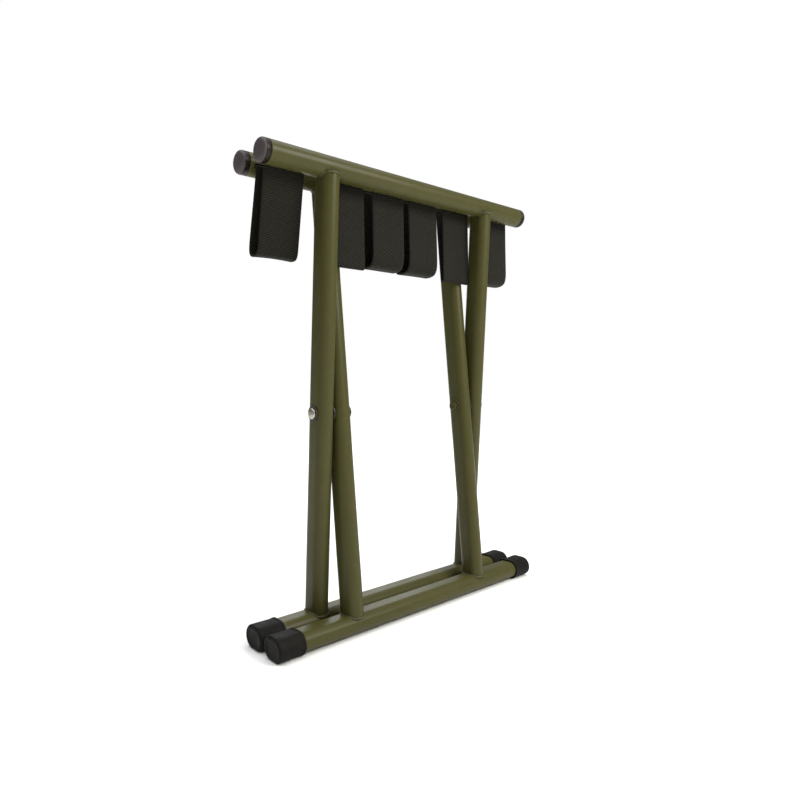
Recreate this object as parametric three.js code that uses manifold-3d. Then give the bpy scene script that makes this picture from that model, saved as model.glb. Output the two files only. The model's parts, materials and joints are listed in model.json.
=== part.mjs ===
// Folding camp stool with a steel tube frame and a seat of six webbing straps, stored folded.
// Millimetres. X runs along the rails, Y from the front rail to the back rail, Z up.
// The origin is on the floor, midway between the feet.
//
// Two frames cross at a riveted pivot. Each frame is a round top rail, two flat-oval legs and a
// flat-oval foot rail. The outer frame carries the front top rail and the back foot rail, and the
// inner frame carries the back top rail and the front foot rail.

import * as THREE from 'three';
import { mergeVertices } from 'three/addons/utils/BufferGeometryUtils.js';
import Module from 'manifold-3d';

const wasm = await Module();
wasm.setup();

// ---- Driving dimensions ----

const GAP = 0.3;                       // clearance between neighbouring pieces
const TUBE_WALL = 1.2;

const PIVOT_Z = 200;                   // height of the rivets
const TOP_RAIL_Z = 413;                // height of the top rails' axes, folded
const FOLDED_HALF_ANGLE = 4.72;        // lean of each frame, folded, in degrees
const OPEN_HALF_ANGLE = 25;            // lean of each frame, open, in degrees

const TOP_RAIL_R = 10;
const TOP_RAIL_LENGTH = 320;

const FOOT_WIDTH = 25;                 // flat-oval foot rail, lying flat
const FOOT_HEIGHT = 17;
const FOOT_LENGTH = 325;

const LEG_WIDTH = 24;                  // flat-oval leg, broad side facing outwards
const LEG_THICKNESS = 17;
const OUTER_LEG_X = 100.5;
const INNER_LEG_X = 82.1;
const COPE = 6;                        // a leg ends this far from each rail's axis

const CAP_WALL = 1.4;
const CAP_END = 2.2;
const CAP_LENGTH = 25;
const CAP_ROUNDING = 1.8;

const PLUG_FLANGE = 3.7;
const PLUG_DOME = 4.5;
const PLUG_SPIGOT = 10;
const PLUG_SPIGOT_WALL = 2.6;
const PLUG_FLOOR = 0.5;

const ROD_R = 2.5;
const ROD_LENGTH = 314;

const RIVET_R = 3;
const RIVET_HEAD_R = 5;
const RIVET_HEAD_HEIGHT = 2.6;
const RIVET_TAIL_R = 4.6;
const RIVET_TAIL_HEIGHT = 2;
const WASHER_R = 7;
const WASHER_THICKNESS = 1;
const SPACER_R = 8;

const STRAP_WIDTH = 39;
const STRAP_THICKNESS = 1.6;
const SLOT_LENGTH = 40.2;
const SLOT_HEIGHT = 4;

// How a strap hangs, folded. lead is the distance from a rail's axis to where the strap turns
// down and leadBend is that bend's radius. The lowest bend has its own radius at the front and at
// the back, and bottomY is its lowest point.
const LEANING_LOOP = {
  front: { lead: 10.5, leadBend: 2, bottomBend: 7 },
  back: { lead: 10.5, leadBend: 2, bottomBend: 8 },
  bottomY: 13.5,
};
const LOOSE_LOOP = {
  front: { lead: 10.5, leadBend: 2, bottomBend: 13 },
  back: { lead: 10.5, leadBend: 2, bottomBend: 8 },
  bottomY: 6,
};
const TIGHT_LOOP = {
  front: { lead: 10.5, leadBend: 2.4, bottomBend: 2.2 },
  back: { lead: 13.8, leadBend: 2.4, bottomBend: 1.6 },
  bottomY: -3.9,
};
const STRAPS = [
  { x: -136.7, loop: LEANING_LOOP },   // outside the legs
  { x: -72, loop: TIGHT_LOOP },        // hangs in front of an inner leg
  { x: -23, loop: LOOSE_LOOP },
  { x: 23, loop: LOOSE_LOOP },
  { x: 72, loop: TIGHT_LOOP },
  { x: 136.7, loop: LOOSE_LOOP },
];

// ---- Derived dimensions ----

const LEAN = THREE.MathUtils.degToRad(FOLDED_HALF_ANGLE);
const OPEN_LEAN = THREE.MathUtils.degToRad(OPEN_HALF_ANGLE);
const SWING = OPEN_LEAN - LEAN;
const FOOT_Z = FOOT_HEIGHT / 2 + GAP + CAP_WALL;
const TOP_REACH = (TOP_RAIL_Z - PIVOT_Z) / Math.cos(LEAN);
const FOOT_REACH = (PIVOT_Z - FOOT_Z) / Math.cos(LEAN);
const TOP_RAIL_Y = TOP_REACH * Math.sin(LEAN);
const SEAT_SPAN = 2 * TOP_REACH * Math.sin(OPEN_LEAN);   // between the top rails' axes, open
const LEG_OUTSIDE_X = OUTER_LEG_X + LEG_THICKNESS / 2;
const LEG_INSIDE_X = INNER_LEG_X - LEG_THICKNESS / 2;
const FRONT = 1;                       // the side whose inward direction is +Y
const BACK = -1;

// ---- Materials ----

const finish = (color, roughness, metalness) =>
  () => new THREE.MeshStandardMaterial({ color, roughness, metalness });
const olivePaint = finish(0x6b6840, 0.38, 0.1);
const blackRubber = finish(0x1f1e1c, 0.75, 0);
const greyPlastic = finish(0x3e3c3a, 0.6, 0);
const webbing = finish(0x24231d, 0.9, 0);
const zincSteel = finish(0xa8a397, 0.35, 0.9);
const darkNylon = finish(0x2b2a28, 0.5, 0);

// ---- Solids ----

function solid(geometry) {
  const bare = geometry.clone();
  bare.deleteAttribute('normal');
  bare.deleteAttribute('uv');
  const merged = mergeVertices(bare, 1e-4);
  return new wasm.Manifold(new wasm.Mesh({
    numProp: 3,
    vertProperties: new Float32Array(merged.attributes.position.array),
    triVerts: new Uint32Array(merged.index.array),
  }));
}

function cut(body, ...tools) {
  const left = tools.reduce((rest, tool) => rest.subtract(solid(tool)), solid(body));
  const mesh = left.getMesh();
  const geometry = new THREE.BufferGeometry();
  geometry.setAttribute('position', new THREE.BufferAttribute(mesh.vertProperties, 3));
  geometry.setIndex(new THREE.BufferAttribute(mesh.triVerts, 1));
  geometry.computeVertexNormals();
  return geometry;
}

function box(sx, sy, sz, x, y, z) {
  return new THREE.BoxGeometry(sx, sy, sz).translate(x, y, z);
}

const YZ_TO_ROW = new THREE.Matrix4().makeBasis(
  new THREE.Vector3(0, 1, 0), new THREE.Vector3(0, 0, 1), new THREE.Vector3(1, 0, 0));

// A shape drawn in (Y, Z), extruded along X and centred on x = 0.
function alongX(shape, length, curveSegments = 12) {
  const extrusion = { depth: length, bevelEnabled: false, curveSegments };
  return new THREE.ExtrudeGeometry(shape, extrusion)
    .translate(0, 0, -length / 2)
    .applyMatrix4(YZ_TO_ROW);
}

function disc(r) {
  return new THREE.Shape().absarc(0, 0, r, 0, 2 * Math.PI, false);
}

function ring(r, holeR) {
  const shape = disc(r);
  shape.holes.push(disc(holeR));
  return shape;
}

// Two half rounds joined by flats: width along the first axis, height along the second.
function oval(width, height) {
  const r = height / 2;
  const flat = width / 2 - r;
  return new THREE.Shape()
    .absarc(flat, 0, r, -Math.PI / 2, Math.PI / 2, false)
    .absarc(-flat, 0, r, Math.PI / 2, 3 * Math.PI / 2, false);
}

function ovalTube(width, height) {
  const shape = oval(width, height);
  shape.holes.push(oval(width - 2 * TUBE_WALL, height - 2 * TUBE_WALL));
  return shape;
}

// [radius, x] points turned about the X axis.
function turned(profile) {
  const points = profile.map(([r, x]) => new THREE.Vector2(r, x));
  return new THREE.LatheGeometry(points, 28).rotateZ(-Math.PI / 2);
}

// A dome's outline from its rim to the axis, as [radius, x] points.
function dome(r, height, rimX, steps = 5) {
  return Array.from({ length: steps + 1 }, (_, i) => {
    const a = (i / steps) * (Math.PI / 2);
    return [r * Math.cos(a), rimX + height * Math.sin(a)];
  });
}

// ---- Frame pieces: the pivot is at the origin and the legs run along Z ----

// Each slot faces straight along the seat when the stool is open.
function topRail(side) {
  const slots = STRAPS.map(({ x }) =>
    box(SLOT_LENGTH, TOP_RAIL_R, SLOT_HEIGHT, 0, side * TOP_RAIL_R, 0)
      .rotateX(-side * OPEN_LEAN)
      .translate(x, 0, 0));
  return cut(alongX(ring(TOP_RAIL_R, TOP_RAIL_R - TUBE_WALL), TOP_RAIL_LENGTH, 32), ...slots)
    .translate(0, 0, TOP_REACH);
}

// The foot rail lies level when the frame leans, so it is turned back by the frame's lean.
function level(geometry, side) {
  return geometry.rotateX(-side * LEAN).translate(0, 0, -FOOT_REACH);
}

function footRail(side) {
  return level(alongX(ovalTube(FOOT_WIDTH, FOOT_HEIGHT), FOOT_LENGTH), side);
}

// A leg's ends are coped to the round top rail and the oval foot rail.
function leg(side) {
  const length = TOP_REACH + FOOT_REACH;
  const tube = new THREE.ExtrudeGeometry(
    ovalTube(LEG_WIDTH, LEG_THICKNESS), { depth: length, bevelEnabled: false, curveSegments: 12 })
    .rotateZ(Math.PI / 2)
    .translate(0, 0, -FOOT_REACH);
  const wide = 2 * LEG_WIDTH;
  return cut(
    tube,
    alongX(disc(TOP_RAIL_R + GAP), wide, 32).translate(0, 0, TOP_REACH),
    box(wide, wide, wide, 0, 0, TOP_REACH - COPE + wide / 2),
    level(alongX(oval(FOOT_WIDTH + 2 * GAP, FOOT_HEIGHT + 2 * GAP), wide), side),
    box(wide, wide, wide, 0, 0, -FOOT_REACH + COPE - wide / 2),
    alongX(disc(RIVET_R + GAP), wide, 24));
}

// A rubber cap that slips over the right-hand end of a foot rail.
function footCap(side) {
  const clear = 2 * GAP;
  const outside = oval(FOOT_WIDTH + clear + 2 * CAP_WALL, FOOT_HEIGHT + clear + 2 * CAP_WALL);
  const extrusion = {
    depth: 2 * CAP_LENGTH - 2 * CAP_ROUNDING,
    bevelSize: CAP_ROUNDING,
    bevelThickness: CAP_ROUNDING,
    bevelOffset: -CAP_ROUNDING,
    bevelSegments: 3,
    curveSegments: 12,
  };
  const rubber = new THREE.ExtrudeGeometry(outside, extrusion)
    .translate(0, 0, -CAP_LENGTH + CAP_ROUNDING)
    .applyMatrix4(YZ_TO_ROW);
  const socket = alongX(oval(FOOT_WIDTH + clear, FOOT_HEIGHT + clear), 2 * CAP_LENGTH)
    .translate(-CAP_END, 0, 0);
  const inboard = box(2 * CAP_LENGTH, 2 * FOOT_WIDTH, 2 * FOOT_WIDTH, -CAP_LENGTH, 0, 0);
  return level(cut(rubber, socket, inboard), side);
}

// A plastic plug in the right-hand end of a top rail. Its spigot is notched past the last slot.
function railPlug(side) {
  const bore = TOP_RAIL_R - TUBE_WALL - GAP;
  const plug = turned([
    [0, PLUG_FLOOR],
    [bore - PLUG_SPIGOT_WALL, PLUG_FLOOR],
    [bore - PLUG_SPIGOT_WALL, -PLUG_SPIGOT],
    [bore, -PLUG_SPIGOT],
    [bore, GAP],
    [TOP_RAIL_R, GAP],
    ...dome(TOP_RAIL_R, PLUG_DOME, GAP + PLUG_FLANGE),
  ]);
  const notch = box(2 * PLUG_SPIGOT - GAP, bore, SLOT_HEIGHT + 2 * GAP, -PLUG_SPIGOT, side * bore, 0)
    .rotateX(-side * OPEN_LEAN);
  return cut(plug, notch).translate(0, 0, TOP_REACH);
}

// ---- Pivot pieces: the right-hand rivet, with its head outwards ----

function rivet() {
  const tailX = LEG_INSIDE_X - 2 * GAP - WASHER_THICKNESS;
  const headX = LEG_OUTSIDE_X + 2 * GAP + WASHER_THICKNESS;
  return turned([
    [0, tailX - RIVET_TAIL_HEIGHT],
    [0.8 * RIVET_TAIL_R, tailX - RIVET_TAIL_HEIGHT],
    [RIVET_TAIL_R, tailX - RIVET_TAIL_HEIGHT / 2],
    [RIVET_TAIL_R, tailX],
    [RIVET_R, tailX],
    [RIVET_R, headX],
    ...dome(RIVET_HEAD_R, RIVET_HEAD_HEIGHT, headX),
  ]);
}

function washer(r, thickness) {
  return alongX(ring(r, RIVET_R + GAP), thickness, 24);
}

// ---- Webbing ----

// Where one half of a loop runs, folded, as distances inwards from the middle plane and heights.
// turn1 and turn2 are how far it turns at the rail and at its lowest bend.
function halfLoop(loop, side, bottomZ) {
  const { lead, leadBend, bottomBend } = side === FRONT ? loop.front : loop.back;
  const c1 = [
    -TOP_RAIL_Y + lead * Math.cos(SWING) - leadBend * Math.sin(SWING),
    TOP_RAIL_Z - lead * Math.sin(SWING) - leadBend * Math.cos(SWING),
  ];
  const c2 = [side * loop.bottomY, bottomZ + bottomBend];
  const [dy, dz] = [c2[0] - c1[0], c2[1] - c1[1]];
  const tilt = Math.atan2(dz, dy) + Math.acos((leadBend + bottomBend) / Math.hypot(dy, dz));
  const out = [Math.cos(tilt), Math.sin(tilt)];
  const top = [c1[0] + leadBend * out[0], c1[1] + leadBend * out[1]];
  const bottom = [c2[0] - bottomBend * out[0], c2[1] - bottomBend * out[1]];
  const turn1 = Math.PI / 2 - SWING - tilt;
  const turn2 = Math.PI / 2 - tilt;
  const straight = Math.hypot(bottom[0] - top[0], bottom[1] - top[1]);
  const length = lead + leadBend * turn1 + straight + bottomBend * turn2;
  return { top, bottom, bottomBend, c2, tilt, turn2, straight, length };
}

// The lowest point of a loop whose two halves just reach across the open seat.
function loopBottom(loop) {
  let [low, high] = [PIVOT_Z, TOP_RAIL_Z - 2 * TOP_RAIL_R];
  for (let i = 0; i < 60; i += 1) {
    const middle = (low + high) / 2;
    const length = halfLoop(loop, FRONT, middle).length + halfLoop(loop, BACK, middle).length;
    if (length > SEAT_SPAN) low = middle;
    else high = middle;
  }
  return low;
}

// A strip of webbing along a line of [y, z] points, extruded across its width.
function strip(points, side) {
  const normalAt = (i) => {
    const [a, b] = [points[Math.max(i - 1, 0)], points[Math.min(i + 1, points.length - 1)]];
    const run = Math.hypot(b[0] - a[0], b[1] - a[1]);
    return [-(b[1] - a[1]) / run, (b[0] - a[0]) / run];
  };
  const edge = (offset) => points.map(([y, z], i) => {
    const [ny, nz] = normalAt(i);
    return new THREE.Vector2(side * (y + offset * ny), z + offset * nz);
  });
  const half = STRAP_THICKNESS / 2;
  return alongX(new THREE.Shape([...edge(half), ...edge(-half).reverse()]), STRAP_WIDTH);
}

function strapDrop(half, side) {
  const { top, bottom, straight } = half;
  const trim = GAP / 2 / straight;
  const at = (t) => [top[0] + t * (bottom[0] - top[0]), top[1] + t * (bottom[1] - top[1])];
  return strip([at(trim), at(1 - trim)], side);
}

function strapFold({ bottomBend, c2, tilt, turn2 }, side, steps = 8) {
  const trim = GAP / 2 / bottomBend;
  const points = Array.from({ length: steps + 1 }, (_, i) => {
    const a = Math.PI + tilt + trim + (i / steps) * (turn2 - 2 * trim);
    return [c2[0] + bottomBend * Math.cos(a), c2[1] + bottomBend * Math.sin(a)];
  });
  return strip(points, side);
}

// ---- Assembly ----

function mesh(name, geometry, material) {
  const piece = new THREE.Mesh(geometry, material());
  piece.name = name;
  return piece;
}

// Pieces made for the right-hand end are turned half round for the left-hand end. That swaps
// front and back too, so the left-hand copy is made for the other side.
function endPair(prefix, make, side, x, material) {
  const right = mesh(`${prefix}_right`, make(side), material);
  right.position.x = x;
  const left = mesh(`${prefix}_left`, make(-side), material);
  left.position.x = -x;
  left.rotation.z = Math.PI;
  return [right, left];
}

function frame(side, legX, names) {
  const group = new THREE.Group();
  group.position.z = PIVOT_Z;
  group.rotation.x = side * LEAN;
  group.add(mesh(`${names.top}_top_rail`, topRail(side), olivePaint));
  group.add(mesh(`${names.foot}_foot_rail`, footRail(side), olivePaint));
  for (const [end, sign] of [['left', -1], ['right', 1]]) {
    const tube = mesh(`${names.leg}_leg_${end}`, leg(side), olivePaint);
    tube.position.x = sign * legX;
    group.add(tube);
  }
  const rod = alongX(disc(ROD_R), ROD_LENGTH, 16).translate(0, 0, TOP_REACH);
  group.add(mesh(`${names.top}_strap_rod`, rod, zincSteel));
  group.add(...endPair(`${names.top}_rail_plug`, railPlug, side, TOP_RAIL_LENGTH / 2, greyPlastic));
  const capX = FOOT_LENGTH / 2 + GAP + CAP_END - CAP_LENGTH;
  group.add(...endPair(`${names.foot}_foot_cap`, footCap, side, capX, blackRubber));
  return group;
}

function pivots() {
  const group = new THREE.Group();
  group.position.z = PIVOT_Z;
  const washerShift = GAP + WASHER_THICKNESS / 2;
  const spacerX = (OUTER_LEG_X + INNER_LEG_X) / 2;
  const spacerThickness = OUTER_LEG_X - INNER_LEG_X - LEG_THICKNESS - 2 * GAP;
  const ends = { left: Math.PI, right: 0 };
  for (const [end, turn] of Object.entries(ends)) {
    const stack = new THREE.Group();
    stack.rotation.z = turn;
    stack.add(mesh(`pivot_rivet_${end}`, rivet(), zincSteel));
    const head = mesh(`rivet_head_washer_${end}`, washer(WASHER_R, WASHER_THICKNESS), darkNylon);
    head.position.x = LEG_OUTSIDE_X + washerShift;
    const tail = mesh(`rivet_tail_washer_${end}`, washer(WASHER_R, WASHER_THICKNESS), olivePaint);
    tail.position.x = LEG_INSIDE_X - washerShift;
    const spacer = mesh(`leg_spacer_${end}`, washer(SPACER_R, spacerThickness), darkNylon);
    spacer.position.x = spacerX;
    stack.add(head, tail, spacer);
    group.add(stack);
  }
  return group;
}

function straps() {
  const group = new THREE.Group();
  STRAPS.forEach(({ x, loop }, i) => {
    const bottomZ = loopBottom(loop);
    for (const [name, side] of [['front', FRONT], ['back', BACK]]) {
      const half = halfLoop(loop, side, bottomZ);
      const drop = mesh(`strap_${i + 1}_${name}`, strapDrop(half, side), webbing);
      const fold = mesh(`strap_${i + 1}_${name}_fold`, strapFold(half, side), webbing);
      drop.position.x = x;
      fold.position.x = x;
      group.add(drop, fold);
    }
  });
  return group;
}

const stool = new THREE.Group();
stool.add(frame(FRONT, OUTER_LEG_X, { top: 'front', foot: 'back', leg: 'outer' }));
stool.add(frame(BACK, INNER_LEG_X, { top: 'back', foot: 'front', leg: 'inner' }));
stool.add(pivots());
stool.add(straps());

export default stool;
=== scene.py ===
"""Looks of the folding webbing stool: smooth painted tubes, welds, caps, plugs, rivets and
straps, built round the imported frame. Pieces are worked out in millimetres until their meshes are
made. Materials, floor, lights and camera are in metres."""
import json
import math

import bpy
import numpy as np
from mathutils import Matrix, Vector


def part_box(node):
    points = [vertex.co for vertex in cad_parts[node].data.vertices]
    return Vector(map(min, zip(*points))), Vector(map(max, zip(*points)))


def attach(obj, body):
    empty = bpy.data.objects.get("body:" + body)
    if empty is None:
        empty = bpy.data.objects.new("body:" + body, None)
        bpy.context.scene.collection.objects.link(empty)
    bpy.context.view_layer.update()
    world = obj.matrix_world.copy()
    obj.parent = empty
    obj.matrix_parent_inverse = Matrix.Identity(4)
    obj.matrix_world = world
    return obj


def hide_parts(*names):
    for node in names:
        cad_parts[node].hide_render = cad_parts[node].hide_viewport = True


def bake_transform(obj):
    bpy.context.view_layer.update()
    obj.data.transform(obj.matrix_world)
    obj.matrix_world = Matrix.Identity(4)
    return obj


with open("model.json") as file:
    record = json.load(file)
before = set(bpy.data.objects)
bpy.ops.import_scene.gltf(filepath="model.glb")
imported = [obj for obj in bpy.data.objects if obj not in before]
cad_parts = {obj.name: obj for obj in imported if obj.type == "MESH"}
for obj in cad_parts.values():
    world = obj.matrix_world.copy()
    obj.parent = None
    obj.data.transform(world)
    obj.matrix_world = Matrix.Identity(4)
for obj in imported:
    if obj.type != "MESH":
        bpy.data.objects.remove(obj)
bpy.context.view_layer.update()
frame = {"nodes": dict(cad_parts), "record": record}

MM = 0.001
FRONT, BACK = 1, -1
JOINTS = {joint["name"]: joint for joint in frame["record"]["behaviour"]["joints"]}
RATIOS = {c["joint"]: c["ratio"] for c in frame["record"]["behaviour"]["couplings"]}


def centre(node):
    low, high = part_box(node)
    return (low + high) / 2 / MM


def extent(node):
    low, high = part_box(node)
    return (high - low) / MM


# ---- Sizes read from the frame ----

PIVOT = Vector(JOINTS["outer_frame_pivot"]["pos_m"]) / MM
SWING = math.radians(JOINTS["outer_frame_pivot"]["range_deg"][1])
RAIL_Y = -centre("front_top_rail").y
RAIL_Z = centre("front_top_rail").z
LEAN = math.atan2(RAIL_Y, RAIL_Z - PIVOT.z)
TOP_REACH = math.hypot(RAIL_Y, RAIL_Z - PIVOT.z)
FOOT_REACH = (PIVOT.z - centre("front_foot_rail").z) / math.cos(LEAN)
RAIL_R = extent("front_top_rail").z / 2
RAIL_HALF = extent("front_top_rail").x / 2
FOOT_WIDTH = extent("front_foot_rail").y
FOOT_HEIGHT = extent("front_foot_rail").z
FOOT_HALF = extent("front_foot_rail").x / 2
CAP_END_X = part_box("front_foot_cap_right")[1].x / MM
CAP_START_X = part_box("front_foot_cap_right")[0].x / MM
CAP_WIDTH = extent("front_foot_cap_right").y
LEG_THICKNESS = extent("outer_leg_left").x
LEG_X = {"outer": centre("outer_leg_right").x, "inner": centre("inner_leg_right").x}
STRAP_X = [centre(f"strap_{i}_front").x for i in range(1, 7)]

# ---- Sizes the frame doesn't state ----

OPEN_LEAN = LEAN + SWING
TUBE_WALL = 1.2
RAIL_EDGE = 0.35                       # bevel at the ends of a top rail
LEG_WIDTH = 24.0
COPE = 6.0                             # a leg comes no nearer than this to a rail's axis
BITE = 0.2                             # how far a leg's end reaches into a rail
SLOT_LENGTH = 40.2
SLOT_HEIGHT = 4.0
SLOT_CUT = (5, 15)                     # from the rail's axis, the stretch that is cut away
SLOT_SHARP_DEG = 32                    # a cut rail's edges sharper than this aren't smoothed
PLUG_GAP = 0.3                         # between a top rail and its plug
PLUG_SPIGOT = 8.0
PLUG_LEAD_IN = 0.6                     # bevel at the inner end of the spigot
PLUG_EDGE = 0.25                       # bevels of the flange
FLANGE_LEAD = 0.3                      # how far the bevel on its inner side runs along the rail
FLANGE_END = 4.6                       # from a top rail's end to where its plug's face begins
FACE_STEP = 0.3                        # from there to where the dome begins
WASHER_R = 7.0
WASHER_HOLE_R = 3.3
WASHER_EDGE = 0.25
RIVET_R = 3.0
RIVET_HEAD_R = 5.0
RIVET_TAIL_R = 4.6
RIVET_GAP = 0.05                       # between a rivet's head or tail and its washer
STRAP_WIDTH = 39.0
STRAP_THICKNESS = 1.6
ROD_R = 2.5
ROD_GAP = 0.15                         # between a rod and the eye round it
EYE_END = 8.0                          # from the rod's axis to the last point of the eye
STRAIGHT_START = 8.8                   # and to the next point, from where the strap is flat
SEAM = 0.1                             # each half stops this short of the strap's middle
WELD_R = 0.95
WELD_OFFSET = 0.25                     # from a leg's surface out to the middle of its weld
WELD_PITCH = 0.95                      # radians of ripple from one point of a weld to the next
WELD_PHASE = 70.3                      # radians at a weld's first point


# ---- Materials ----

class Nodes:
    """A material's node tree, with short calls for the nodes used here."""

    def __init__(self, name, **shader_values):
        self.material = bpy.data.materials.new(name)
        self.material.use_nodes = True
        self.tree = self.material.node_tree
        self.shader = self.tree.nodes["Principled BSDF"]
        for socket, value in shader_values.items():
            self.shader.inputs[socket.replace("_", " ")].default_value = value
        self.object_place = self.tree.nodes.new("ShaderNodeTexCoord").outputs["Object"]

    def node(self, kind, inputs=(), **settings):
        made = self.tree.nodes.new(kind)
        for key, value in settings.items():
            setattr(made, key, value)
        for key, value in dict(inputs).items():
            if isinstance(value, bpy.types.NodeSocket):
                self.tree.links.new(value, made.inputs[key])
            else:
                made.inputs[key].default_value = value
        return made

    def noise(self, scale, detail=4.0, roughness=0.55, vector=None):
        place = self.object_place if vector is None else vector
        made = self.node("ShaderNodeTexNoise", {
            "Vector": place, "Scale": scale, "Detail": detail, "Roughness": roughness})
        return made.outputs["Fac"]

    def math(self, operation, a, b=0.0):
        made = self.tree.nodes.new("ShaderNodeMath")
        made.operation = operation
        for socket, value in zip(made.inputs, (a, b)):
            if isinstance(value, bpy.types.NodeSocket):
                self.tree.links.new(value, socket)
            else:
                socket.default_value = value
        return made.outputs[0]

    def ramp(self, factor, *stops):
        made = self.tree.nodes.new("ShaderNodeValToRGB")
        elements = made.color_ramp.elements
        while len(elements) < len(stops):
            elements.new(0.5)
        for element, (place, colour) in zip(elements, stops):
            element.position = place
            element.color = (*colour, 1)
        self.tree.links.new(factor, made.inputs["Fac"])
        return made.outputs["Color"]

    def mix(self, factor, a, b):
        made = self.tree.nodes.new("ShaderNodeMix")
        made.data_type = "RGBA"
        sockets = {s.identifier: s for s in made.inputs}
        for key, value in (("Factor_Float", factor), ("A_Color", a), ("B_Color", b)):
            if isinstance(value, bpy.types.NodeSocket):
                self.tree.links.new(value, sockets[key])
            else:
                sockets[key].default_value = value if key == "Factor_Float" else (*value, 1)
        return next(s for s in made.outputs if s.identifier == "Result_Color")

    def grey(self, factor, low, high):
        return self.ramp(factor, (0.25, (low,) * 3), (0.75, (high,) * 3))

    def bump(self, height, strength, distance, under=None):
        inputs = {"Height": height, "Strength": strength, "Distance": distance}
        if under is not None:
            inputs["Normal"] = under
        return self.node("ShaderNodeBump", inputs).outputs["Normal"]

    def set(self, **sockets):
        for socket, value in sockets.items():
            self.tree.links.new(value, self.shader.inputs[socket.replace("_", " ")])
        return self.material


def olive_paint():
    """Olive enamel: slight orange peel, uneven depth of colour and a few worn chips."""
    m = Nodes("olive_paint", Coat_Weight=0.07, Coat_Roughness=0.26, Specular_IOR_Level=0.13)
    chips = 0.64                       # the noise level from which the paint is worn
    cloud = m.noise(9, 3)
    fine = m.noise(120, 5)
    colour = m.mix(cloud, (0.049, 0.0475, 0.0125), (0.066, 0.0635, 0.018))
    colour = m.mix(m.grey(fine, 0.0, 0.22), colour, (0.040, 0.030, 0.011))
    worn = m.ramp(m.noise(55, 6, 0.7), (chips, (0,) * 3), (chips + 0.03, (1,) * 3))
    colour = m.mix(m.math("MULTIPLY", worn, 0.3), colour, (0.10, 0.092, 0.05))
    peel = m.bump(m.noise(420, 2), 0.10, 0.0004)
    normal = m.bump(worn, 0.2, 0.0002, peel)
    rough = m.grey(m.noise(35, 4), 0.34, 0.48)
    return m.set(Base_Color=colour, Roughness=rough, Normal=normal)


def weld_paint():
    """The same enamel run thin over a weld, darker in its ripples."""
    m = Nodes("weld_paint", Coat_Weight=0.1, Coat_Roughness=0.3, Specular_IOR_Level=0.3)
    grain = m.noise(260, 5)
    colour = m.mix(grain, (0.042, 0.037, 0.011), (0.066, 0.061, 0.019))
    rough = m.grey(m.noise(140, 3), 0.36, 0.55)
    return m.set(Base_Color=colour, Roughness=rough, Normal=m.bump(grain, 0.5, 0.0005))


def webbing():
    """Black-brown webbing: a fine twill that climbs across the strap, and single threads."""
    m = Nodes("webbing", Sheen_Weight=0.04, Sheen_Roughness=0.5, Specular_IOR_Level=0.12)
    place = m.node("ShaderNodeUVMap", uv_map="weave").outputs["UV"]
    split = m.node("ShaderNodeSeparateXYZ", {"Vector": place})
    across, along = split.outputs["X"], split.outputs["Y"]
    cycle = 2 * math.pi
    rib_along, rib_across, thread_width = 0.0021, 0.0046, 0.0009
    drift = m.math("MULTIPLY", m.noise(60, 2, vector=place), 2.2)
    slant = m.math("ADD", m.math("MULTIPLY", along, cycle / rib_along),
                   m.math("MULTIPLY", across, cycle / rib_across))
    twill = m.math("SINE", m.math("ADD", slant, drift))
    thread = m.math("SINE", m.math("MULTIPLY", across, cycle / thread_width))
    height = m.math("ADD", m.math("MULTIPLY", twill, 0.75), m.math("MULTIPLY", thread, 0.25))
    level = m.math("ADD", m.math("MULTIPLY", height, 0.45), 0.5)
    patch = m.noise(40, 4, vector=place)
    colour = m.ramp(level, (0.1, (0.0030, 0.0028, 0.0018)), (0.5, (0.0080, 0.0074, 0.0047)),
                    (0.92, (0.0200, 0.0185, 0.0118)))
    colour = m.mix(m.grey(patch, 0.0, 0.3), colour, (0.0120, 0.0108, 0.0070))
    rough = m.grey(m.noise(300, 3, vector=place), 0.68, 0.88)
    return m.set(Base_Color=colour, Roughness=rough, Normal=m.bump(level, 0.4, 0.0005))


def black_rubber():
    """Moulded rubber, dusty in patches, with a fine spark-eroded grain."""
    m = Nodes("black_rubber", Specular_IOR_Level=0.07)
    dust = m.ramp(m.noise(30, 6, 0.7), (0.42, (0,) * 3), (0.75, (1,) * 3))
    colour = m.mix(m.noise(140, 4), (0.006, 0.0057, 0.0050), (0.010, 0.0096, 0.0086))
    colour = m.mix(m.math("MULTIPLY", dust, 0.3), colour, (0.019, 0.018, 0.0155))
    rough = m.grey(m.noise(90, 4), 0.5, 0.7)
    return m.set(Base_Color=colour, Roughness=rough, Normal=m.bump(m.noise(900, 3), 0.25, 0.0003))


def grey_plastic():
    """Moulded plastic plug, scuffed grey on its domed face, with painted shade darkening it round
    its flange.
    """
    m = Nodes("grey_plastic", Specular_IOR_Level=0.2)
    split = m.node("ShaderNodeSeparateXYZ", {"Vector": m.object_place})
    # Mask for painted shade: 1 on the domed face, 0 short of it, round the flange
    out = m.math("ABSOLUTE", split.outputs["X"])
    face = m.math("GREATER_THAN", out, (RAIL_HALF + FLANGE_END) * MM)
    scuff = m.ramp(m.noise(160, 7, 0.75), (0.55, (0,) * 3), (0.7, (1,) * 3))
    colour = m.mix(m.noise(70, 4), (0.052, 0.043, 0.042), (0.074, 0.062, 0.060))
    colour = m.mix(m.math("MULTIPLY", scuff, 0.4), colour, (0.100, 0.088, 0.085))
    # Painted shade: short of the domed face, round the flange, the plug is coloured near-black
    colour = m.mix(face, (0.008, 0.0055, 0.004), colour)
    rough = m.grey(scuff, 0.42, 0.66)
    return m.set(Base_Color=colour, Roughness=rough, Normal=m.bump(m.noise(600, 3), 0.3, 0.0003))


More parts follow.
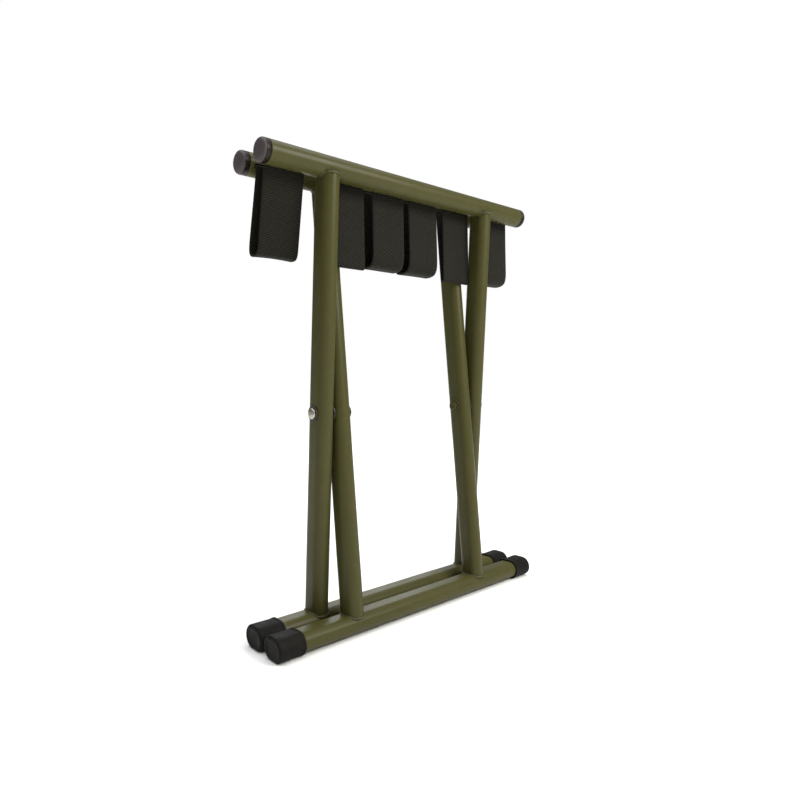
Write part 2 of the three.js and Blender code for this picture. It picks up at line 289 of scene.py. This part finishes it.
def zinc_steel():
    """Dull zinc plate with a turned grain and white bloom."""
    m = Nodes("zinc_steel", Metallic=0.9)
    bloom = m.noise(180, 5, 0.65)
    colour = m.mix(bloom, (0.28, 0.255, 0.205), (0.56, 0.53, 0.46))
    rough = m.grey(m.noise(400, 3), 0.28, 0.5)
    return m.set(Base_Color=colour, Roughness=rough, Normal=m.bump(bloom, 0.3, 0.0003))


def dark_nylon():
    """Dark nylon washer, faintly mottled."""
    m = Nodes("dark_nylon")
    colour = m.mix(m.noise(200, 4), (0.012, 0.011, 0.010), (0.030, 0.028, 0.025))
    rough = m.grey(m.noise(350, 3), 0.4, 0.6)
    return m.set(Base_Color=colour, Roughness=rough, Normal=m.bump(m.noise(700, 2), 0.2, 0.0002))


PAINT = olive_paint()
WELD = weld_paint()
WEBBING = webbing()
RUBBER = black_rubber()
PLASTIC = grey_plastic()
ZINC = zinc_steel()
NYLON = dark_nylon()
SLOTS = {"frame_paint": PAINT, "webbing": WEBBING, "foot_caps": RUBBER, "rail_plugs": PLASTIC,
         "zinc_steel": ZINC, "nylon_washers": NYLON}
for part in frame["record"]["subparts"]:
    for slot in frame["nodes"][part["node"]].material_slots:
        slot.material = SLOTS[part["material_slot"]]


# ---- Meshes ----

def make(name, points, faces, material, sharp_deg=40):
    """A smooth-shaded object from points in millimetres."""
    mesh = bpy.data.meshes.new(name)
    mesh.from_pydata([tuple(c * MM for c in p) for p in points], [], faces)
    mesh.validate()
    mesh.materials.append(material)
    mesh.shade_smooth()
    mesh.set_sharp_from_angle(angle=math.radians(sharp_deg))
    piece = bpy.data.objects.new(name, mesh)
    bpy.context.collection.objects.link(piece)
    return piece


def skin(rings, joined):
    """Points and faces over rings of equal count. If joined, the last ring meets the first."""
    count = len(rings[0])
    points = [p for ring in rings for p in ring]
    faces = []
    for i in range(len(rings) if joined else len(rings) - 1):
        n = (i + 1) % len(rings)
        for j in range(count):
            k = (j + 1) % count
            faces.append((i * count + j, i * count + k, n * count + k, n * count + j))
    return points, faces


def loft(rings):
    """Points and faces of a solid's skin over rings of equal count, capped at both ends."""
    points, faces = skin(rings, joined=False)
    count = len(rings[0])
    last = len(points) - count
    faces.append(tuple(range(count - 1, -1, -1)))
    faces.append(tuple(range(last, last + count)))
    return points, faces


def oval(width, height, count=64):
    """Points (along the width, along the height) round a flat oval."""
    r, flat = height / 2, (width - height) / 2
    ring = []
    for i in range(count):
        a = math.pi * (2 * i + 1) / count - math.pi
        u, v = math.cos(a) * r, math.sin(a) * r
        ring.append((u + math.copysign(flat, u), v))
    return ring


def lean(side):
    """From a frame's own axes, with its legs along Z and the pivot at the origin, to the row."""
    return Matrix.Translation(PIVOT) @ Matrix.Rotation(side * LEAN, 4, "X")


def placed(points, matrix):
    return [matrix @ Vector(p) for p in points]


def turned(profile, count=64):
    """(radius, x) points turned about X, as rings."""
    rings = []
    for r, x in profile:
        rings.append([(x, r * math.cos(a), r * math.sin(a))
                      for a in (2 * math.pi * i / count for i in range(count))])
    return rings


def flip(points):
    return [(-x, y, z) for x, y, z in points]


def reverse(faces):
    return [tuple(reversed(f)) for f in faces]


BODY = {"outer": "outer_frame", "inner": "inner_frame"}
SIDE = {"outer": FRONT, "inner": BACK}
TOP = {"outer": "front", "inner": "back"}
FOOT = {"outer": "back", "inner": "front"}


# ---- Top rails ----

def slot_cutters(side, up):
    """One mesh of flat-oval bars, which cut the slots where the straps leave a rail."""
    outline = oval(SLOT_LENGTH, SLOT_HEIGHT, 24)
    bar, bar_faces = loft([[(u, side * depth, v) for u, v in outline] for depth in SLOT_CUT])
    if side > 0:
        bar_faces = reverse(bar_faces)
    points, faces = [], []
    for x in STRAP_X:
        level = up @ Matrix.Rotation(-side * OPEN_LEAN, 4, "X") @ Matrix.Translation((x, 0, 0))
        faces += [tuple(v + len(points) for v in face) for face in bar_faces]
        points += placed(bar, level)
    return make("slot_cutters", points, faces, PAINT)


def top_rail(kind):
    """The round rail with its slots cut through the wall that faces the other rail."""
    side = SIDE[kind]
    bore = RAIL_R - TUBE_WALL
    half = [(bore, RAIL_HALF - RAIL_EDGE), (bore + RAIL_EDGE, RAIL_HALF),
            (RAIL_R - RAIL_EDGE, RAIL_HALF), (RAIL_R, RAIL_HALF - RAIL_EDGE)]
    profile = [(r, -x) for r, x in half] + half[::-1]
    points, faces = skin(turned(profile, 96), joined=True)
    up = lean(side) @ Matrix.Translation((0, 0, TOP_REACH))
    rail = make(f"rail_tube_{TOP[kind]}", placed(points, up), faces, PAINT)
    tool = slot_cutters(side, up)
    cut = rail.modifiers.new("slots", "BOOLEAN")
    cut.operation, cut.solver, cut.object = "DIFFERENCE", "EXACT", tool
    evaluated = rail.evaluated_get(bpy.context.evaluated_depsgraph_get())
    mesh = bpy.data.meshes.new_from_object(evaluated)
    rail.modifiers.clear()
    rail.data = mesh
    mesh.shade_smooth()
    mesh.set_sharp_from_angle(angle=math.radians(SLOT_SHARP_DEG))
    bpy.data.objects.remove(tool)
    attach(rail, BODY[kind])
    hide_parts(f"{TOP[kind]}_top_rail")


# ---- Legs, foot rails and welds ----

def rail_underside(y):
    """Height at which a leg's wall meets the top rail, y across the leg."""
    r = RAIL_R - BITE
    return TOP_REACH - max(math.sqrt(max(r * r - y * y, 0)), COPE)


def foot_topside(side, y):
    """Height at which a leg's wall meets the flat-oval foot rail, which lies level."""
    r, flat = FOOT_HEIGHT / 2 - BITE, (FOOT_WIDTH - FOOT_HEIGHT) / 2
    z = r
    for _ in range(20):
        level = y * math.cos(LEAN) - side * z * math.sin(LEAN)
        beyond = max(abs(level) - flat, 0)
        rise = math.sqrt(max(r * r - beyond * beyond, 0))
        z = (rise - side * y * math.sin(LEAN)) / math.cos(LEAN)
    return -FOOT_REACH + max(z, COPE)


def leg(kind, end, sign):
    """A flat-oval tube, coped to the rail at each end, and its two welds."""
    side = SIDE[kind]
    outline = [(v, u) for u, v in oval(LEG_WIDTH, LEG_THICKNESS)]
    quarter = len(outline) // 4
    outline = outline[quarter:] + outline[:quarter]
    steps = 28
    rings = []
    for i in range(steps + 1):
        t = i / steps
        rings.append([(x, y, (1 - t) * foot_topside(side, y) + t * rail_underside(y))
                      for x, y in outline])
    points, faces = loft(rings)
    x = sign * LEG_X[kind]
    points = [(px + x, py, pz) for px, py, pz in points]
    tube = make(f"leg_tube_{kind}_{end}", placed(points, lean(side)), reverse(faces), PAINT)
    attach(tube, BODY[kind])
    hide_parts(f"{kind}_leg_{end}")
    for where, height in (("top", rail_underside), ("foot", lambda y: foot_topside(side, y))):
        line = []
        for px, py in outline:
            grow = 1 + WELD_OFFSET / math.hypot(px, py)
            line.append(Vector((px * grow + x, py * grow, height(py))))
        bead = weld(f"weld_{kind}_leg_{end}_{where}", line, lean(side))
        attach(bead, BODY[kind])


def weld(name, line, matrix):
    """A rippled bead along a closed line, with lumps of its own."""
    line = resample(line, 120)
    count, sides = len(line), 10
    rng = np.random.default_rng(int(sum(map(ord, name))))
    rough = np.tile(rng.normal(0, 0.12, count), 3)
    lumps = np.convolve(rough, np.ones(5) / 5, "same")[count:-count]
    points, faces = [], []
    for i, p in enumerate(line):
        along = (line[(i + 1) % count] - line[i - 1]).normalized()
        out = Vector((0, 0, 1)).cross(along)
        out = out.normalized() if out.length > 0.1 else Vector((1, 0, 0))
        up = along.cross(out).normalized()
        r = WELD_R * (1 + 0.13 * math.sin(i * WELD_PITCH + WELD_PHASE) + lumps[i])
        for j in range(sides):
            a = 2 * math.pi * j / sides
            points.append(p + out * r * math.cos(a) + up * r * math.sin(a))
    for i in range(count):
        n = (i + 1) % count
        for j in range(sides):
            k = (j + 1) % sides
            faces.append((i * sides + j, n * sides + j, n * sides + k, i * sides + k))
    return make(name, placed(points, matrix), faces, WELD, 80)


def resample(line, count):
    """Evenly spaced points round a closed line."""
    closed = line + [line[0]]
    lengths = np.cumsum([0] + [(b - a).length for a, b in zip(closed, closed[1:])])
    made = []
    for s in np.linspace(0, lengths[-1], count, endpoint=False):
        i = int(np.searchsorted(lengths, s, "right")) - 1
        t = (s - lengths[i]) / max(lengths[i + 1] - lengths[i], 1e-9)
        made.append(closed[i].lerp(closed[i + 1], t))
    return made


def foot_rail(kind):
    """The flat-oval rail that lies level on the floor side of a frame."""
    rings = []
    for x in np.linspace(-FOOT_HALF, FOOT_HALF, 9):
        rings.append([(x, u, v) for u, v in oval(FOOT_WIDTH, FOOT_HEIGHT, 96)])
    points, faces = loft(rings)
    where = centre(f"{FOOT[kind]}_foot_rail")
    points = [(px, py + where.y, pz + where.z) for px, py, pz in points]
    rail = make(f"foot_tube_{FOOT[kind]}", points, faces, PAINT)
    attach(rail, BODY[kind])
    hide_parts(f"{FOOT[kind]}_foot_rail")


# ---- Caps and plugs ----

def foot_cap(kind, end, sign):
    """A slip-on rubber cap: rolled lip, slightly tapered sleeve, rounded end, dished face."""
    reach = (CAP_WIDTH - FOOT_WIDTH) / 2
    length = CAP_END_X - CAP_START_X
    clearance, end_wall, round_end = 0.1, 2.4, 2.6
    # (distance from the open end, growth beyond the foot rail), from the inside out
    sleeve_inside = [(length - end_wall, clearance), (0.2, clearance), (0.0, 0.45)]
    lip = [(0.0, reach - 0.15), (0.25, reach), (2.2, reach), (2.6, reach - 0.35)]
    sleeve = [(3.4, reach - 0.4), (length * 0.6, reach - 0.15)]
    rounding = [(length - round_end * (1 - math.sin(a)), reach - round_end * (1 - math.cos(a)))
                for a in (i / 8 * math.pi / 2 for i in range(9))]
    dish = [(length, reach - 3.4), (length - 0.12, reach - 3.8), (length - 0.45, reach - 4.6),
            (length - 0.5, reach - 8.0)]
    profile = sleeve_inside + lip + sleeve + rounding + dish
    rings = [[(CAP_START_X + d, u, v) for u, v in oval(FOOT_WIDTH + 2 * g, FOOT_HEIGHT + 2 * g)]
             for d, g in profile]
    points, faces = loft(rings)
    where = centre(f"{FOOT[kind]}_foot_cap_{end}")
    points = [(px, py + where.y, pz + where.z) for px, py, pz in points]
    if sign < 0:
        points, faces = flip(points), reverse(faces)
    cap = make(f"foot_cap_rubber_{FOOT[kind]}_{end}", points, faces, RUBBER, 50)
    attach(cap, BODY[kind])
    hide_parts(f"{FOOT[kind]}_foot_cap_{end}")


def rail_plug(kind, end, sign):
    """A push-in plug: spigot, plain flange and a smooth domed face."""
    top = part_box(f"{TOP[kind]}_rail_plug_right")[1].x / MM
    flange = RAIL_HALF + PLUG_GAP
    face = RAIL_HALF + FLANGE_END
    dome_start = face + FACE_STEP
    bore = RAIL_R - TUBE_WALL - PLUG_GAP
    inner = RAIL_HALF - PLUG_SPIGOT
    spigot = [(0.01, inner), (bore - PLUG_LEAD_IN, inner), (bore, inner + PLUG_LEAD_IN),
              (bore, flange)]
    rim = [(RAIL_R - PLUG_EDGE, flange), (RAIL_R, flange + FLANGE_LEAD),
           (RAIL_R, face - PLUG_EDGE), (RAIL_R - PLUG_EDGE, face)]
    dome = [((RAIL_R - PLUG_EDGE) * math.cos(a) ** 0.8,
             dome_start + (top - dome_start) * math.sin(a))
            for a in (i / 16 * math.pi / 2 for i in range(16))]
    profile = spigot + rim + dome + [(0.6, top), (0.01, top)]
    points, faces = loft(turned(profile))
    if sign < 0:
        points, faces = flip(points), reverse(faces)
    up = lean(SIDE[kind]) @ Matrix.Translation((0, 0, TOP_REACH))
    plug = make(f"rail_end_plug_{TOP[kind]}_{end}", placed(points, up), faces, PLASTIC)
    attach(plug, BODY[kind])
    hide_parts(f"{TOP[kind]}_rail_plug_{end}")


# ---- Rivets and washers ----

def rivet(end, sign):
    """A rivet's zinc head and shank, its painted tail, and a washer under each end."""
    head_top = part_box("pivot_rivet_right")[1].x / MM
    tail_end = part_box("pivot_rivet_right")[0].x / MM
    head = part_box("rivet_head_washer_right")[1].x / MM + RIVET_GAP
    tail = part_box("rivet_tail_washer_right")[0].x / MM - RIVET_GAP
    dome = [(RIVET_HEAD_R * math.cos(a), head + 0.35 + (head_top - head - 0.5) * math.sin(a))
            for a in (i / 9 * math.pi / 2 for i in range(9))]
    # (radius, x), from the middle of one end to the middle of the other
    head_profile = [(0.01, tail + 0.02), (RIVET_R, tail + 0.02), (RIVET_R, head),
                    (RIVET_HEAD_R - 0.2, head), (RIVET_HEAD_R, head + 0.2), *dome,
                    (1.2, head_top - 0.05), (0.6, head_top - 0.3), (0.01, head_top - 0.4)]
    tail_profile = [(0.01, tail_end + 0.5), (1.6, tail_end + 0.45), (2.6, tail_end),
                    (3.9, tail_end), (4.5, tail_end + 0.5), (RIVET_TAIL_R, tail - 0.6),
                    (RIVET_TAIL_R - 0.2, tail), (0.01, tail)]
    for name, profile, material, slot in (
            (f"rivet_{end}", head_profile, ZINC, "zinc_steel"),
            (f"rivet_tail_{end}", tail_profile, PAINT, "frame_paint")):
        points, faces = loft(turned(profile, 48))
        if sign < 0:
            points, faces = flip(points), reverse(faces)
        piece = make(name, placed(points, Matrix.Translation(PIVOT)), faces, material)
        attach(piece, "pivot")
        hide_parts(f"pivot_rivet_{end}")
    washer("head", end, NYLON)
    washer("tail", end, PAINT)


def washer(under, end, material):
    """A flat ring with bevelled edges."""
    node = f"rivet_{under}_washer_{end}"
    x0, x1 = (corner.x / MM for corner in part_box(node))
    r, hole, e = WASHER_R, WASHER_HOLE_R, WASHER_EDGE
    profile = [(hole, x0 + e), (hole + e, x0), (r - e, x0), (r, x0 + e),
               (r, x1 - e), (r - e, x1), (hole + e, x1), (hole, x1 - e)]
    points, faces = skin(turned(profile, 48), joined=True)
    piece = make(f"{under}_washer_{end}", placed(points, Matrix.Translation(PIVOT)), faces, material)
    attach(piece, "pivot")
    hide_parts(node)


# ---- Straps ----

# Straps 1 to 6, from the left, by the way they hang.
LOOPS = ["leaning", "tight", "loose", "loose", "tight", "loose"]
# One half of each loop: distance from the rail's axis to the bend, the radii of the bend at the
# rail and of the fold at the bottom, and how far above the fold the strap starts to curve.
HALVES = {
    ("leaning", FRONT): {"lead": 10.5, "bend": 2.0, "fold": 7.0, "rise": 3},
    ("leaning", BACK): {"lead": 10.5, "bend": 2.0, "fold": 8.0, "rise": 5},
    ("loose", FRONT): {"lead": 10.5, "bend": 2.0, "fold": 13.0, "rise": 4},
    ("loose", BACK): {"lead": 10.5, "bend": 2.0, "fold": 8.0, "rise": 2},
    ("tight", FRONT): {"lead": 10.5, "bend": 2.4, "fold": 2.2, "rise": 1},
    ("tight", BACK): {"lead": 13.8, "bend": 2.4, "fold": 1.6, "rise": 1},
}
EXTRA_RISE = {2: 2}                    # the third strap curves sooner still
SWAY = {"leaning": 1.0, "loose": 1.0, "tight": 0.3}     # a share of the sway in Half.sway
CORNERING = 0.8                        # of the fold: 0.55 is a quarter of an ellipse, 1 a crease

# The flat, open strap carried back with the front rail to where the rail rests.
RAIL_AXIS = np.array([-RAIL_Y, RAIL_Z])
ALONG = np.array([math.cos(SWING), -math.sin(SWING)])
ABOVE = np.array([math.sin(SWING), math.cos(SWING)])


def flat(s, n=0.0):
    """(y, z) points of that flat strap, s from the rail's axis and n above its middle layer."""
    return RAIL_AXIS + np.outer(s, ALONG) + np.outer(n, ABOVE)


def polar(angle):
    return np.array([math.cos(angle), math.sin(angle)])


def hinge_reach(radius, angle):
    """How far a bend's hinge lies from the bend's centre."""
    return radius * (angle / 2) / math.sin(angle / 2)


def straight_drop(sizes, hinge1, hinge2, turn1, turn2):
    """Length of the straight stretch between the bend at the rail and the fold at the bottom,
    from where their hinges lie and how far they turn."""
    tilt = math.pi / 2 - turn2
    reach1, reach2 = hinge_reach(sizes["bend"], turn1), hinge_reach(sizes["fold"], turn2)
    centre1 = hinge1 - reach1 * polar((math.pi / 2 - SWING + tilt) / 2)
    centre2 = hinge2 - reach2 * polar(5 * math.pi / 4 + tilt / 2)
    span = centre2 - centre1 - (sizes["bend"] + sizes["fold"]) * polar(tilt)
    return float(np.linalg.norm(span))


def turn(points, hinge, angle):
    """(y, z) points turned about X at a hinge."""
    p = points - hinge
    c, s = np.cos(angle), np.sin(angle)
    return hinge + np.stack([p[:, 0] * c - p[:, 1] * s, p[:, 0] * s + p[:, 1] * c], 1)


def unbend(points, hinge, angle, start, end):
    """Where points of the flat, open strap lie at rest, each turned back by a share of the angle
    that grows smoothly from start to end.
    """
    low, high = np.zeros(len(points)), np.ones(len(points))
    step = end - start
    for _ in range(40):
        w = (low + high) / 2
        t = np.clip((turn(points, hinge, -w * angle) - start) @ step / (step @ step), 0, 1)
        below = w < t * t * (3 - 2 * t)
        low, high = np.where(below, w, low), np.where(below, high, w)
    return turn(points, hinge, -low * angle)


def bezier(a, b, c, d, count):
    """Points along a cubic curve from a to d."""
    t = np.linspace(0, 1, count)[:, None]
    return (1 - t) ** 3 * a + 3 * t * (1 - t) ** 2 * b + 3 * t ** 2 * (1 - t) * c + t ** 3 * d


def normals(heading):
    """Unit vectors a quarter turn from each (y, z) heading."""
    unit = heading / np.linalg.norm(heading, axis=1)[:, None]
    return np.stack([-unit[:, 1], unit[:, 0]], 1)


def section():
    """(x, offset) points round the webbing's section, with rounded selvedges."""
    half, t = STRAP_WIDTH / 2, STRAP_THICKNESS / 2
    level = np.linspace(-half + t, half - t, 13)
    ring = [(x, t) for x in level]
    ring += [(half - t + t * math.cos(a), t * math.sin(a)) for a in (0.8, 0.0, -0.8)]
    ring += [(x, -t) for x in level[::-1]]
    ring += [(-half + t - t * math.cos(a), -t * math.sin(a)) for a in (0.8, 0.0, -0.8)]
    return ring


def sewn_eye():
    """(s, n) points from a strap's sewn end, round the rod and out towards the slot."""
    radius = ROD_R + ROD_GAP + STRAP_THICKNESS / 2
    tangent = math.acos(radius / EYE_END)
    around = [(radius * math.cos(a), radius * math.sin(a))
              for a in np.linspace(-tangent, tangent - 2 * math.pi, 20)]
    return np.array([(4.5, -1.72), (3.0, -2.4), *around, (4.6, 1.62), (6.6, 0.5), (EYE_END, 0.1)])


SECTION = section()
EYE = sewn_eye()


class Half:
    """The front or back half of one strap. Its (y, z) points are worked out as if it hung from
    the front rail, and s is the distance from the rail's axis along the flat, open strap."""

    def __init__(self, index, side):
        self.index, self.side, self.kind = index, side, LOOPS[index]
        self.name = f"strap_{index + 1}_{'front' if side == FRONT else 'back'}"
        self.body = f"{self.kind}_{'front' if side == FRONT else 'back'}"
        bend, fold = f"{self.body}_bend", f"{self.body}_fold_bend"
        self.bend_hinge, self.bend_turn = self.hinge(bend), abs(RATIOS[bend]) * SWING
        self.fold_hinge, self.fold_turn = self.hinge(fold), abs(RATIOS[fold]) * SWING
        sizes = HALVES[self.kind, side]
        drop = straight_drop(sizes, self.bend_hinge, self.fold_hinge, self.bend_turn, self.fold_turn)
        self.bend_s = sizes["lead"]
        self.drop_s = self.bend_s + sizes["bend"] * self.bend_turn
        fold_s = self.drop_s + drop
        self.end_s = fold_s + sizes["fold"] * self.fold_turn
        self.middle_s = (self.drop_s + fold_s) / 2
        self.curve_s = fold_s - sizes["rise"] - EXTRA_RISE.get(index, 0)

    def hinge(self, joint):
        _, y, z = JOINTS[joint]["pos_m"]
        return np.array([self.side * y, z]) / MM

    def hung(self, s, folded=False):
        """Rest places of points of the flat strap that lie past the bend, or past the fold too."""
        points = turn(flat(s), self.bend_hinge, -self.bend_turn)
        return turn(points, self.fold_hinge, self.fold_turn) if folded else points

    def sway(self, x, s):
        """A slight wave in the hanging part, out of the strap's plane."""
        fade = np.clip((s - self.drop_s) / 12, 0, 1)
        phase = self.index * 1.7
        wave = (0.45 * math.sin(phase + 1.3) * math.cos(x / 14 + phase)
                - 0.35 * (x / STRAP_WIDTH * 2) ** 2 * np.cos((self.end_s - s) / 30 + phase))
        return SWAY[self.kind] * fade * wave

    def in_row(self, point):
        return (0, self.side * point[0] * MM, point[1] * MM)

    def mesh(self, name, columns, lengths):
        """A piece from one line of (y, z) points for each point of the webbing's section."""
        rings, places = [], []
        for i, length in enumerate(lengths):
            rings.append([(STRAP_X[self.index] + x, self.side * column[i][0], column[i][1])
                          for (x, _), column in zip(SECTION, columns)])
            places += [(x * MM, length * MM * self.side + self.index * 0.3) for x, _ in SECTION]
        points, faces = loft(rings)
        if self.side == FRONT:
            faces = reverse(faces)
        piece = make(name, points, faces, WEBBING, 60)
        layer = piece.data.uv_layers.new(name="weave")
        for loop in piece.data.loops:
            layer.data[loop.index].uv = places[loop.vertex_index]
        return piece


def upper_half(half):
    """From the sewn eye inside the rail to halfway down the drop, worked out from the flat, open
    strap turned back through its bend.
    """
    out = np.linspace(STRAIGHT_START, half.bend_s, 4)[:-1]
    bend = np.linspace(half.bend_s, half.drop_s, 9)
    fall = np.linspace(half.drop_s, half.middle_s, 12)[1:]
    straight = np.concatenate([out, bend, fall])
    line = np.concatenate([EYE, np.stack([straight, np.zeros(len(straight))], 1)])
    normal = normals(np.gradient(line, axis=0))
    normal[len(EYE):] = (0, 1)
    lengths = np.concatenate([[0], np.cumsum(np.linalg.norm(np.diff(line, axis=0), axis=1))])
    lengths += half.bend_s - lengths[len(EYE) + len(out)]
    past_eye = np.arange(len(line)) >= len(EYE)
    start, end = flat([half.bend_s])[0], half.hung([half.drop_s])[0]
    columns = []
    for x, n in SECTION:
        p = line + normal * n
        p[:, 1] += half.sway(x, line[:, 0]) * past_eye
        columns.append(unbend(flat(p[:, 0], p[:, 1]), half.bend_hinge, half.bend_turn, start, end))
    piece = half.mesh(f"{half.name}_upper", columns, lengths - half.end_s)
    half.in_row(start)
    half.in_row(end)
    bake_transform(piece)
    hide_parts(half.name)


def lower_half(half):
    """From halfway down the drop, round the fold, to the middle of the strap."""
    hang_s = np.linspace(half.middle_s, half.curve_s, 10)[:-1]
    hang = half.hung(hang_s)
    start, end = half.hung([half.curve_s])[0], half.hung([half.end_s], folded=True)[0]
    hanging = (start - hang[-1]) / np.linalg.norm(start - hang[-1])
    corner = start + hanging * (end[1] - start[1]) / hanging[1]
    fold = bezier(start, start + CORNERING * (corner - start),
                  end + CORNERING * (corner - end), end, 26)
    fold[-1] -= (SEAM, 0)
    line = np.concatenate([hang, fold])
    heading = np.gradient(line, axis=0)
    heading[:len(hang) + 1] = hanging
    heading[-1] = (1, 0)
    normal = normals(heading)
    s = np.concatenate([hang_s, np.linspace(half.curve_s, half.end_s, len(fold))])
    columns = [line + normal * (n + half.sway(x, s))[:, None] for x, n in SECTION]
    piece = half.mesh(f"{half.name}_lower", columns, s - half.end_s)
    half.in_row(start)
    half.in_row(end)
    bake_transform(piece)
    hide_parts(f"{half.name}_fold")


# ---- Assembly ----

for kind in ("outer", "inner"):
    top_rail(kind)
    foot_rail(kind)
    for end, sign in (("left", -1), ("right", 1)):
        leg(kind, end, sign)
        foot_cap(kind, end, sign)
        rail_plug(kind, end, sign)
for end, sign in (("left", -1), ("right", 1)):
    rivet(end, sign)
for index in range(len(LOOPS)):
    for side in (FRONT, BACK):
        half = Half(index, side)
        upper_half(half)
        lower_half(half)


# ---- Floor, light and camera ----

FLOOR_RADIUS = 9.0
CAMERA_PLACE = (-0.4066, -0.45053, 0.22607)
CAMERA_ANGLES = (48.36, -1.64, -1.03)  # yaw, pitch and roll in degrees
SENSOR_WIDTH = 36                      # millimetres
FOCAL_LENGTH = 27.146


def floor():
    """A wide disc of pale paper that takes the contact shadows."""
    m = Nodes("floor_paper", Specular_IOR_Level=0.0)
    colour = m.mix(m.noise(6, 3), (0.95, 0.95, 0.94), (0.98, 0.98, 0.97))
    rough = m.grey(m.noise(20, 3), 0.75, 0.9)
    material = m.set(Base_Color=colour, Roughness=rough)
    mesh = bpy.data.meshes.new("floor")
    angles = [2 * math.pi * i / 48 for i in range(48)]
    rim = [(FLOOR_RADIUS * math.cos(a), FLOOR_RADIUS * math.sin(a), 0) for a in angles]
    mesh.from_pydata(rim, [], [tuple(range(len(rim)))])
    mesh.materials.append(material)
    plane = bpy.data.objects.new("floor", mesh)
    bpy.context.collection.objects.link(plane)


def area_light(name, place, target, size, power, colour):
    data = bpy.data.lights.new(name, "AREA")
    data.shape, data.size, data.energy, data.color = "SQUARE", size, power, colour
    light = bpy.data.objects.new(name, data)
    bpy.context.collection.objects.link(light)
    light.location = place
    light.rotation_euler = (Vector(target) - Vector(place)).to_track_quat("-Z", "Y").to_euler()


def studio():
    """A white backdrop for the camera, a dimmer fill, a key, a back light and a broad sun."""
    world = bpy.data.worlds.new("studio")
    bpy.context.scene.world = world
    world.use_nodes = True
    tree = world.node_tree
    fill = tree.nodes["Background"]
    fill.inputs["Color"].default_value = (0.95, 0.97, 1.0, 1)
    fill.inputs["Strength"].default_value = 0.2
    backdrop = tree.nodes.new("ShaderNodeBackground")
    backdrop.inputs["Color"].default_value = (1, 1, 1, 1)
    backdrop.inputs["Strength"].default_value = 1.0
    seen = tree.nodes.new("ShaderNodeLightPath").outputs["Is Camera Ray"]
    choose = tree.nodes.new("ShaderNodeMixShader")
    tree.links.new(seen, choose.inputs[0])
    tree.links.new(fill.outputs[0], choose.inputs[1])
    tree.links.new(backdrop.outputs[0], choose.inputs[2])
    tree.links.new(choose.outputs[0], tree.nodes["World Output"].inputs["Surface"])
    area_light("key", place=(0.4, -0.95, 0.85), target=(0, 0, 0.3), size=0.55, power=13,
               colour=(1, 0.98, 0.92))
    area_light("back", place=(0.9, 1.4, 0.9), target=(0, 0, 0.2), size=0.9, power=8,
               colour=(0.95, 0.97, 1))
    overhead = bpy.data.lights.new("overhead", "SUN")
    overhead.energy, overhead.angle = 2.85, math.radians(75)
    bpy.context.collection.objects.link(bpy.data.objects.new("overhead", overhead))


def camera():
    """The photograph's place and lens."""
    yaw, pitch, roll = (math.radians(a) for a in CAMERA_ANGLES)
    ahead = Vector((math.cos(yaw) * math.cos(pitch), math.sin(yaw) * math.cos(pitch),
                    math.sin(pitch)))
    right = ahead.cross(Vector((0, 0, 1))).normalized()
    up = right.cross(ahead)
    tilted = right * math.cos(roll) + up * math.sin(roll)
    upright = up * math.cos(roll) - right * math.sin(roll)
    data = bpy.data.cameras.new("camera")
    data.sensor_width, data.lens = SENSOR_WIDTH, FOCAL_LENGTH
    made = bpy.data.objects.new("camera", data)
    bpy.context.collection.objects.link(made)
    axes = Matrix((tilted, upright, -ahead)).transposed().to_4x4()
    made.matrix_world = Matrix.Translation(CAMERA_PLACE) @ axes
    bpy.context.scene.camera = made


floor()
studio()
camera()
bpy.context.scene.view_settings.view_transform = "Standard"
